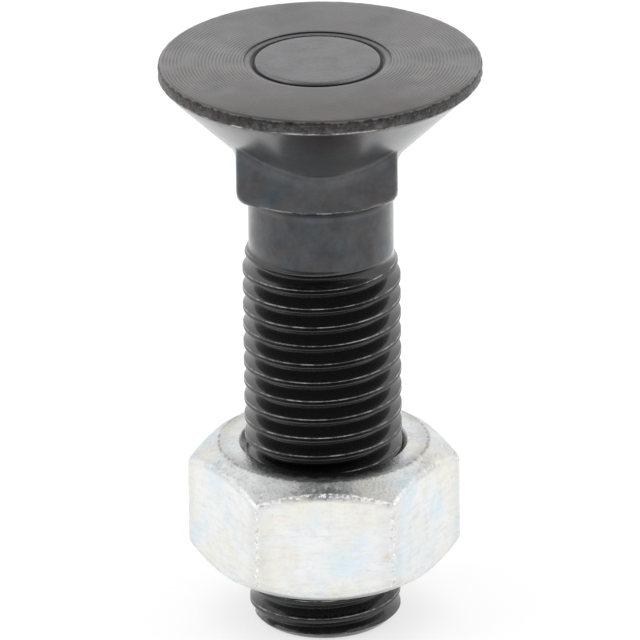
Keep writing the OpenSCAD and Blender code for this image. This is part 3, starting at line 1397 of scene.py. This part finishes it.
    def model(self) -> Piece:
        """Model the bolt as one closed mesh.

        Returns:
            The bolt in millimetres.
        """
        skin = RingSkin("plow_bolt", self.sides, level_ring(self.hub_r, self.length - self.disc_drop))
        neck = rings(self.cone, 10) + rings(self.fillet, 8) + rings(self.flat, 6) + rings(self.edge_bend, 12)
        shank = rings(self.shoulder, 4) + rings(self.joint, 8) + rings(self.shank, 6)
        bolt = skin.pull(*self.disc_and_face(), *self.rim(), *neck, *shank)
        with editing(bolt):
            select_open_edges(bolt, self.neck_z, self.length)
            bpy.ops.mesh.edge_face_add()
        thread = self.form.sweep("thread", self.ridge(), -self.form.pitch, self.thread_len + self.form.pitch)
        reshape(thread, self.end_radius)
        cut_level(thread, 0.0, keep_above=True, fill=True)
        cut_level(thread, self.thread_len, keep_above=False)
        join_pieces(bolt, thread)
        bridge_open_rims(bolt, self.thread_len - 0.1, self.thread_len + 2.0 * self.seam)
        face_outwards(bolt)
        return bolt

    def dress(self, bolt: Piece) -> None:
        """Give each region of the bolt its finish.

        Args:
            bolt: The bolt's mesh in millimetres.
        """
        oxide = BlackOxide(self.effects, (self.neck_z + 0.05) * MM, self.neck_half * MM, self.shoulder_slope,
                           self.cone_z(0.0) * MM, self.cone_slope)
        disc_x, disc_y = self.disc_shift
        finishes = {Region.BODY: oxide,
                    Region.FACE: TurnedFace(self.effects),
                    Region.DISC: PressedDisc(self.effects, self.length * MM, (disc_x * MM, disc_y * MM, 0.0)),
                    Region.RIM: ForgedRim(self.effects, self.length * MM, self.rim_z * MM),
                    Region.THREAD: RolledThread(self.effects, self.form),
                    Region.CONE: replace(oxide, name="cone_oxide", film=0.6, film_roughness=0.19)}
        bolt.data.materials.clear()
        for region in Region:
            bolt.data.materials.append(finishes[region].build())
        for face in bolt.data.polygons:
            face.material_index = self.region(face.center, face.normal).value

    def build(self) -> Piece:
        """Model and dress the bolt and place it on its body.

        Returns:
            The bolt in metres.
        """
        bolt = self.model()
        self.dress(bolt)
        finish_mesh(bolt, 40.0)
        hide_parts("bolt")
        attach(bolt, "bolt")
        return bolt


@dataclass
class HexNut:
    """The zinc-plated nut with its internal thread. Sizes in millimetres."""

    effects: Effects
    form: ThreadForm
    sides: int = 360
    # The flats are rolled a little under size
    under_size: float = 0.1
    corner_r: float = 0.7
    face_r: float = 10.55
    slope: float = math.tan(math.radians(33.0))
    mouth_r: float = 8.5
    mouth_edge: float = 0.15
    # How fast the mouths of the bore narrow
    mouth_slope: float = 1.3
    groove_r: float = 8.05
    crest_r: float = 6.98
    face_edge: float = 0.12
    edge_r: float = 0.36

    def __post_init__(self) -> None:
        """Take the overall sizes from the CAD node."""
        low, high = node_box_mm("hex_nut")
        self.foot, self.top = low.z, high.z
        self.half = (high.y - low.y) / 2.0 - self.under_size

    def hex_radius(self, angle: float) -> float:
        """Distance from the axis to the nut's outline, with its corners rounded.

        Args:
            angle: Angle round the axis in radians.

        Returns:
            Radius along that ray.
        """
        sector = math.pi / 3.0
        off = abs((angle % sector) - sector / 2.0)
        # A corner is an arc that both flats touch
        centre = (self.half - self.corner_r) / math.cos(sector / 2.0)
        turn = sector / 2.0 - off
        side = centre * math.sin(turn)
        if side >= self.corner_r * math.sin(sector / 2.0):
            return self.half / math.cos(off)
        return centre * math.cos(turn) + math.sqrt(self.corner_r ** 2 - side ** 2)

    def chamfer_end(self, upper: bool, wall: float) -> Point:
        """Height of a chamfer where it would meet the flats, and its slope up from there towards the axis.

        Args:
            upper: On the upper chamfer, or else on the lower one.
            wall: Distance of the flats from the axis.

        Returns:
            Height and signed slope.
        """
        drop = (wall - self.face_r) * self.slope
        return (self.top - drop, self.slope) if upper else (self.foot + drop, -self.slope)

    def side(self, rise: float, angle: float) -> Point:
        """Point on the side of the nut.

        Args:
            rise: Height as a share of the side, from -1 at the lower chamfer to 1 at the upper one.
            angle: Angle round the axis in radians.

        Returns:
            Radius and height.
        """
        wall = self.hex_radius(angle)
        upper = self.chamfer_end(True, wall)[0] - self.edge_r
        lower = self.chamfer_end(False, wall)[0] + self.edge_r
        return wall, (upper + lower) / 2.0 + (upper - lower) / 2.0 * rise

    def chamfer(self, upper: bool, share: float, angle: float) -> Point:
        """Point on a corner chamfer.

        Args:
            upper: On the upper chamfer, or else on the lower one.
            share: Way from the round face, 0, to the rounded edge, 1.
            angle: Angle round the axis in radians.

        Returns:
            Radius and height.
        """
        wall = self.hex_radius(angle)
        corner_z, slope = self.chamfer_end(upper, wall)
        start = self.face_r + self.face_edge
        stop = wall - self.edge_r * math.cos(math.atan(slope))
        radius = start + (stop - start) * share
        return radius, corner_z + (wall - radius) * slope

    def rounded_edge(self, upper: bool, turn: float, angle: float) -> Point:
        """Point on the rounded edge between a chamfer and the flats.

        Args:
            upper: On the upper edge, or else on the lower one.
            turn: Way from the chamfer, 0, to the flats, 1.
            angle: Angle round the axis in radians.

        Returns:
            Radius and height.
        """
        wall = self.hex_radius(angle)
        corner_z, slope = self.chamfer_end(upper, wall)
        inward = self.edge_r * math.cos(math.atan(slope)) * (1.0 - turn) ** 2
        along = self.edge_r * turn ** 2
        return wall - inward, corner_z + inward * slope - (along if upper else -along)

    def end_rings(self, upper: bool) -> list[Outline]:
        """Rings over one end, from the mouth of the bore to the edge of the flats.

        Args:
            upper: At the upper end, or else at the lower one.

        Returns:
            Outlines of the rings.
        """
        level = self.top if upper else self.foot
        start = self.mouth_r + self.mouth_edge
        face = [level_ring(start + (self.face_r - start) * share, level) for share in (0.0, 0.4, 0.8, 0.97)]
        cone = [partial(self.chamfer, upper, share) for share in (0.0, 0.25, 0.5, 0.75, 1.0)]
        return face + cone + rings(partial(self.rounded_edge, upper), 6)

    def ridge(self) -> list[Point]:
        """Outline of the internal thread round one ridge of the bolt.

        Returns:
            Height from the middle of the bolt's crest and radius of each point, over one pitch.
        """
        groove = [(0.0, self.groove_r), (0.17, self.groove_r), (0.38, 7.7), (0.6, 7.32)]
        return both_ways(groove + [(0.8, self.crest_r), (self.form.pitch / 2.0, self.crest_r)])

    def mouth_radius(self, place: Vector) -> float:
        """Radius of the bore after its two mouths are countersunk."""
        depth = min(place.z - self.foot, self.top - place.z)
        return max(place.xy.length, self.mouth_r - max(depth, -0.1) * self.mouth_slope)

    def model(self) -> Piece:
        """Model the nut as one closed mesh.

        Returns:
            The nut in millimetres.
        """
        upper = self.end_rings(True)
        walls = [partial(self.side, rise) for rise in (0.6, 0.2, -0.2, -0.6)]
        skin = RingSkin("zinc_nut", self.sides, upper[0])
        nut = skin.pull(*upper[1:], *walls, *reversed(self.end_rings(False)))
        bore = self.form.sweep("bore", self.ridge(), self.foot - self.form.pitch, self.top + self.form.pitch)
        reshape(bore, self.mouth_radius)
        cut_level(bore, self.foot, keep_above=True)
        cut_level(bore, self.top, keep_above=False)
        join_pieces(nut, bore)
        for level in (self.top, self.foot):
            bridge_open_rims(nut, level - 0.01, level + 0.01)
        face_outwards(nut)
        return nut

    def build(self) -> Piece:
        """Model and dress the nut and place it on its body.

        Returns:
            The nut in metres.
        """
        nut = self.model()
        nut.data.materials.clear()
        zinc = ZincPlate(self.effects, self.foot * MM, self.top * MM, self.half * MM, self.face_r * MM,
                         self.slope, self.mouth_r * MM)
        nut.data.materials.append(zinc.build())
        finish_mesh(nut, 35.0)
        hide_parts("hex_nut")
        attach(nut, "nut")
        return nut


@dataclass(frozen=True)
class Studio:
    """Pale floor, soft light all round and the camera. Sizes in metres."""

    floor_size: float = 4.0
    floor_colour: Colour = (0.96, 0.96, 0.96)
    world_level: float = 0.8
    overhead_level: float = 0.62
    front_level: float = 0.35
    shadow_share: float = 0.35
    # Level of the floor in reflections: right under the object, where a shadow is painted, and far out, where
    # it is painted dimmer
    contact_level: float = 0.6
    far_level: float = 0.85
    # Distance, height angle and roll of the camera, and its focal length in pixels of the photograph
    distance: float = 1.2
    height: float = math.radians(23.346)
    roll: float = math.radians(-0.679)
    focal_px: float = 11996.0
    frame_px: float = 640.0
    sensor_mm: float = 36.0
    # Where the aim point falls in the photograph, right of and below its middle
    aim_right_px: float = 2.3
    aim_down_px: float = 18.5

    def floor(self) -> None:
        """Lay the floor, white to the camera and in reflections, with the object's soft shadow."""
        deselect_all()
        bpy.ops.mesh.primitive_grid_add(x_subdivisions=2, y_subdivisions=2, size=self.floor_size)
        floor = bpy.context.object
        floor.name = "studio_floor"
        material = bpy.data.materials.new("floor_white")
        material.use_nodes = True
        material.node_tree.nodes.clear()
        kit = Shader(material.node_tree)
        matt = kit.node("ShaderNodeBsdfDiffuse", Color=self.floor_colour)
        path = kit.node("ShaderNodeLightPath").outputs
        reach = kit.vector("LENGTH", kit.node("ShaderNodeTexCoord").outputs["Object"]).outputs["Value"]
        # Painted shadow: in reflections the floor is darker right under the object, and dimmer far out
        loss = kit.add(kit.mul(kit.fall(reach, 0.006, 0.012), 1.0 - self.contact_level),
                       kit.mul(kit.band(reach, 0.05, 0.12), 1.0 - self.far_level))
        level = kit.rest(kit.mul(loss, path["Is Glossy Ray"]))
        glow = kit.node("ShaderNodeEmission", Color=WHITE, Strength=level)
        seen = kit.most(kit.most(path["Is Camera Ray"], path["Is Glossy Ray"]), path["Is Transmission Ray"])
        blend = kit.node("ShaderNodeMixShader", Fac=kit.mul(seen, 1.0 - self.shadow_share))
        kit.feed(blend.inputs[1], matt.outputs[0])
        kit.feed(blend.inputs[2], glow.outputs[0])
        kit.node("ShaderNodeOutputMaterial", Surface=blend.outputs[0])
        floor.data.materials.append(material)

    def world(self) -> None:
        """Fill the room with white light, as a light tent does, weaker overhead and behind the camera."""
        world = bpy.data.worlds.new("light_tent")
        bpy.context.scene.world = world
        world.use_nodes = True
        kit = Shader(world.node_tree)
        path = kit.node("ShaderNodeLightPath").outputs
        x, y, z = kit.parts(kit.node("ShaderNodeTexCoord").outputs["Generated"])
        strip = kit.fall(kit.math("ABSOLUTE", x), 0.15, 0.45)
        overhead = kit.mul(kit.mul(kit.band(z, 0.3, 0.75), strip), 1.0 - self.overhead_level)
        toward = kit.mul(kit.band(kit.mul(y, -1.0), 0.2, 0.7), 1.0 - self.front_level)
        tent = kit.mul(kit.rest(overhead), kit.rest(toward))
        seen = kit.most(path["Is Camera Ray"], path["Is Transmission Ray"])
        glossy = path["Is Glossy Ray"]
        rest = kit.rest(kit.most(seen, glossy))
        level = kit.add(kit.mul(glossy, tent), kit.mul(rest, self.world_level))
        kit.fill(world.node_tree.nodes["Background"], Color=WHITE, Strength=kit.add(seen, level))

    def lamps(self) -> None:
        """Hang the two side softboxes and the one overhead."""
        boxes = (("softbox_left", (-0.55, -0.15, 0.45), 0.5, 1.5),
                 ("softbox_right", (0.55, -0.1, 0.4), 0.45, 1.1),
                 ("softbox_top", (0.0, 0.1, 0.7), 0.6, 1.5))
        for name, place, size, power in boxes:
            deselect_all()
            bpy.ops.object.light_add(type="AREA", location=place)
            lamp = bpy.context.object
            lamp.name = name
            lamp.data.size = size
            lamp.data.energy = power
            lamp.visible_glossy = False
            lamp.rotation_euler = (AIM - Vector(place)).to_track_quat("-Z", "Y").to_euler()

    def camera(self) -> None:
        """Set the camera at the photograph's height, distance and roll."""
        back = Vector((0.0, -math.cos(self.height), math.sin(self.height)))
        level = Vector((1.0, 0.0, 0.0))
        rise = back.cross(level)
        right = math.cos(self.roll) * level + math.sin(self.roll) * rise
        up = math.cos(self.roll) * rise - math.sin(self.roll) * level
        pixel = self.distance / self.focal_px
        place = AIM + self.distance * back - right * self.aim_right_px * pixel + up * self.aim_down_px * pixel
        deselect_all()
        bpy.ops.object.camera_add()
        camera = bpy.context.object
        camera.name = "photo_camera"
        camera.matrix_world = Matrix.Translation(place) @ Matrix((right, up, back)).transposed().to_4x4()
        camera.data.sensor_width = self.sensor_mm
        camera.data.lens = self.focal_px / self.frame_px * self.sensor_mm
        camera.data.clip_end = 20.0
        bpy.context.scene.camera = camera

    def build(self) -> None:
        """Set up the floor, the light and the camera."""
        self.floor()
        self.world()
        self.lamps()
        self.camera()
        bpy.context.scene.view_settings.view_transform = "Standard"


def write_sizes() -> None:
    """Update the view layer."""
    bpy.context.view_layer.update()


def main() -> None:
    """Build the bolt, the nut and the studio in order."""
    logging.basicConfig(level=logging.INFO)
    effects = Effects()
    form = ThreadForm()
    for maker in (PlowBolt(effects, form), HexNut(effects, form)):
        piece = maker.build()
        log.info("%s: %d faces", piece.name, len(piece.data.polygons))
    Studio().build()
    write_sizes()


if __name__ == "__main__":
    main()
